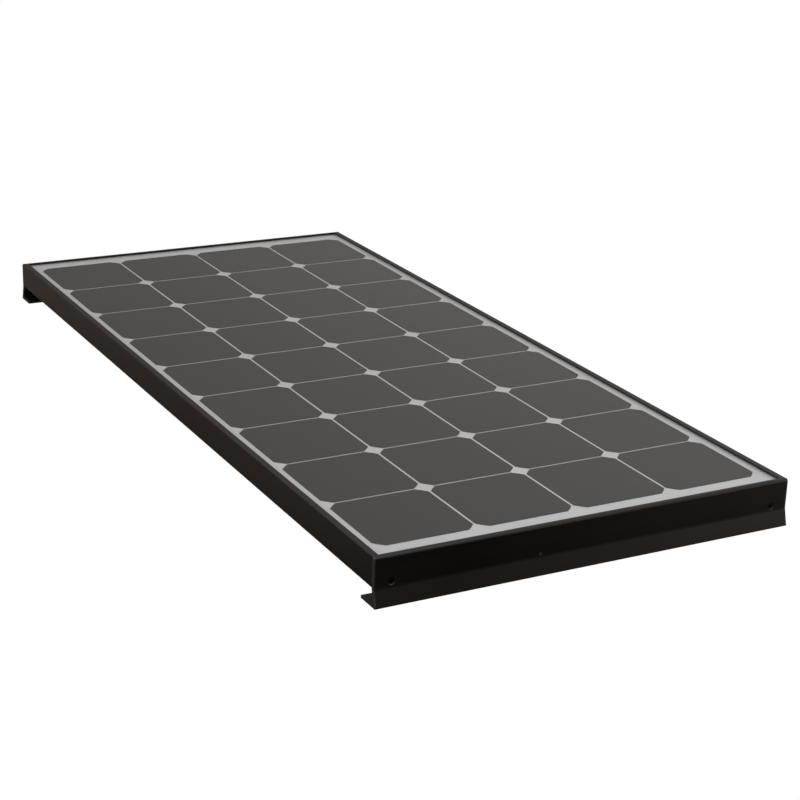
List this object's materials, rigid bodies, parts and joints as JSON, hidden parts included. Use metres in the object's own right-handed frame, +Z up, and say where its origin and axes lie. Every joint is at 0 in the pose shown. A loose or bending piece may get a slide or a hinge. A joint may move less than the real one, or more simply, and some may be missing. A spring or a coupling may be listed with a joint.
{
  "type": "solar panel",
  "caption": "Framed photovoltaic panel with square dark cells under glass, a black frame and tall end profiles with inward bonding flanges; junction box and cables below.",
  "frame": {"origin": "centre of the footprint on the mounting plane, at the underside of the bonding flanges", "axes": "+Z up through the glass, +Y along the panel towards the end with the junction box, +X across the panel"},
  "size_m": [0.543, 1.2056, 0.0575],
  "materials": {
    "black_anodised": "satin black anodised extrusion",
    "black_screw": "black oxide",
    "black_sealant": "matte silicone",
    "solar_glass": "anti-reflective tempered glass",
    "encapsulant": "clear",
    "silicon_cell": "textured dark silicon",
    "tinned_copper": "tinned copper",
    "white_backsheet": "matte white film",
    "label_film": "satin silver film, blank",
    "adhesive_foam": "matte adhesive",
    "black_plastic": "fine moulded texture",
    "black_rubber": "matte",
    "stainless_steel": "satin",
    "diode_epoxy": "moulded epoxy",
    "cable_jacket": "satin extruded",
    "copper": "bare copper"
  },
  "bodies": {
    "panel": {"side_profile_left": "black_anodised", "side_profile_right": "black_anodised", "end_profile_front": "black_anodised", "end_profile_rear": "black_anodised", "corner_screws": "black_screw", "frame_seal": "black_sealant", "front_glass": "solar_glass", "front_encapsulant": "encapsulant", "solar_cells": "silicon_cell", "cell_interconnects": "tinned_copper", "cross_ribbons": "tinned_copper", "output_leads": "tinned_copper", "rear_encapsulant": "encapsulant", "backsheet": "white_backsheet", "rating_label": "label_film", "jbox_pad": "adhesive_foam", "jbox_base": "black_plastic", "lid_seal": "black_rubber", "hinge_pins": "stainless_steel", "terminal_plates": "tinned_copper", "terminal_screws": "stainless_steel", "bypass_diodes": "diode_epoxy", "gland_bodies": "black_plastic", "gland_seals": "black_rubber", "gland_nuts": "black_plastic", "negative_cable": "cable_jacket", "positive_cable": "cable_jacket", "cable_conductors": "copper", "cable_clips": "black_plastic", "plug_housing": "black_plastic", "plug_nut": "black_plastic", "plug_seal": "black_rubber", "plug_contact": "tinned_copper", "socket_housing": "black_plastic", "socket_nut": "black_plastic", "socket_seal": "black_rubber", "socket_contact": "tinned_copper"},
    "lid": {"jbox_lid": "black_plastic"}
  },
  "joints": [
    {"name": "jbox_lid_hinge", "type": "hinge", "parent": "panel", "child": "lid", "pos_m": [0, 0.5505, 0.028], "axis": [1, 0, 0], "range_deg": [0, 110]}
  ]
}
